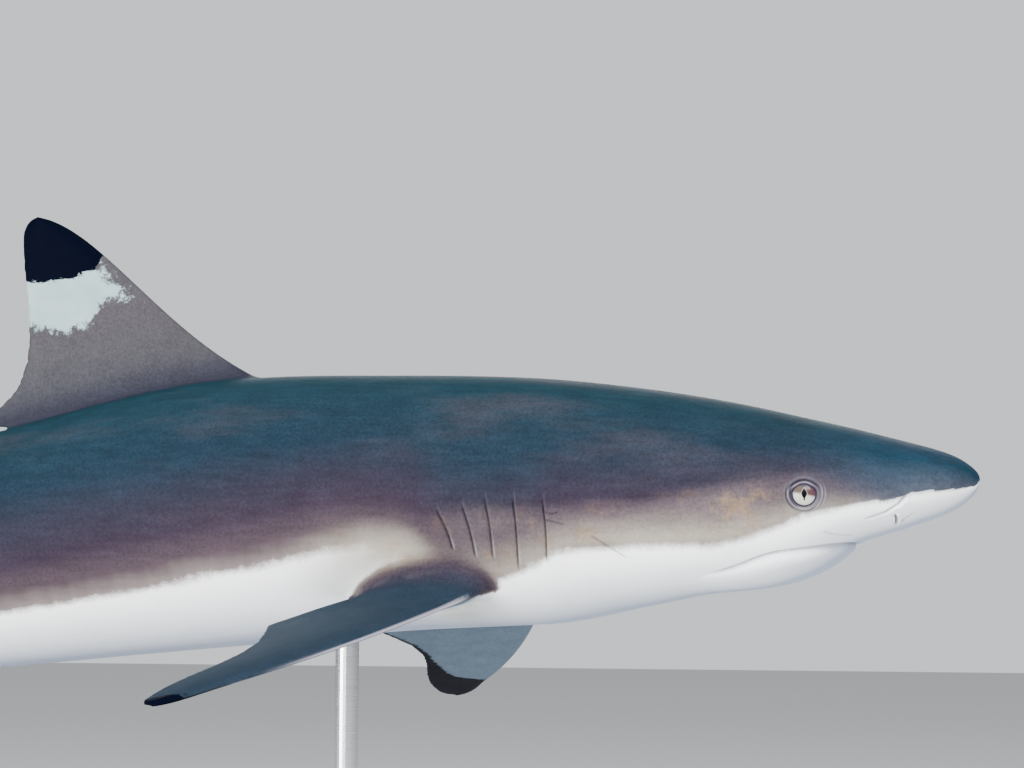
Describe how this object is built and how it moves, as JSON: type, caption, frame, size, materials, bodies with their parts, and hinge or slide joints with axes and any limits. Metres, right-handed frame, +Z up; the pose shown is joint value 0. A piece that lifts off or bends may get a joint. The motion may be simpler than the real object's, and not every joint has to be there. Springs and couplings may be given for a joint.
{
  "type": "blacktip reef shark display model",
  "caption": "Life-size still model of an adult blacktip reef shark in a level swimming pose, held over a flat base by upright rods.",
  "frame": {"origin": "centre of the underside of the stand's flat base", "axes": "+X toward the head, +Z up, the animal's right side toward -Y"},
  "size_m": [1.3326, 0.5163, 0.5676],
  "materials": {
    "skin_back": "painted cast skin, blue-grey back and pale belly, satin",
    "skin_belly": "painted cast skin, pale grey-white, satin",
    "skin_fin": "painted cast skin, grey with black tips, satin",
    "eye_glass": "clear glossy cornea over a silver-green iris",
    "stand_lacquer": "dark lacquer, satin",
    "stand_steel": "brushed"
  },
  "bodies": {
    "root": {"head": "skin_back", "lower_jaw": "skin_belly", "gill_region": "skin_back", "trunk_front": "skin_back", "trunk_rear": "skin_back", "tail_stem": "skin_back", "first_dorsal_fin": "skin_fin", "second_dorsal_fin": "skin_fin", "anal_fin": "skin_fin", "pectoral_fin_left": "skin_fin", "pectoral_fin_right": "skin_fin", "pelvic_fin_left": "skin_fin", "pelvic_fin_right": "skin_fin", "caudal_fin_upper": "skin_fin", "caudal_fin_lower": "skin_fin", "eye_left": "eye_glass", "eye_right": "eye_glass", "stand_base": "stand_lacquer", "stand_rod_front": "stand_steel", "stand_rod_rear": "stand_steel"}
  },
  "joints": []
}
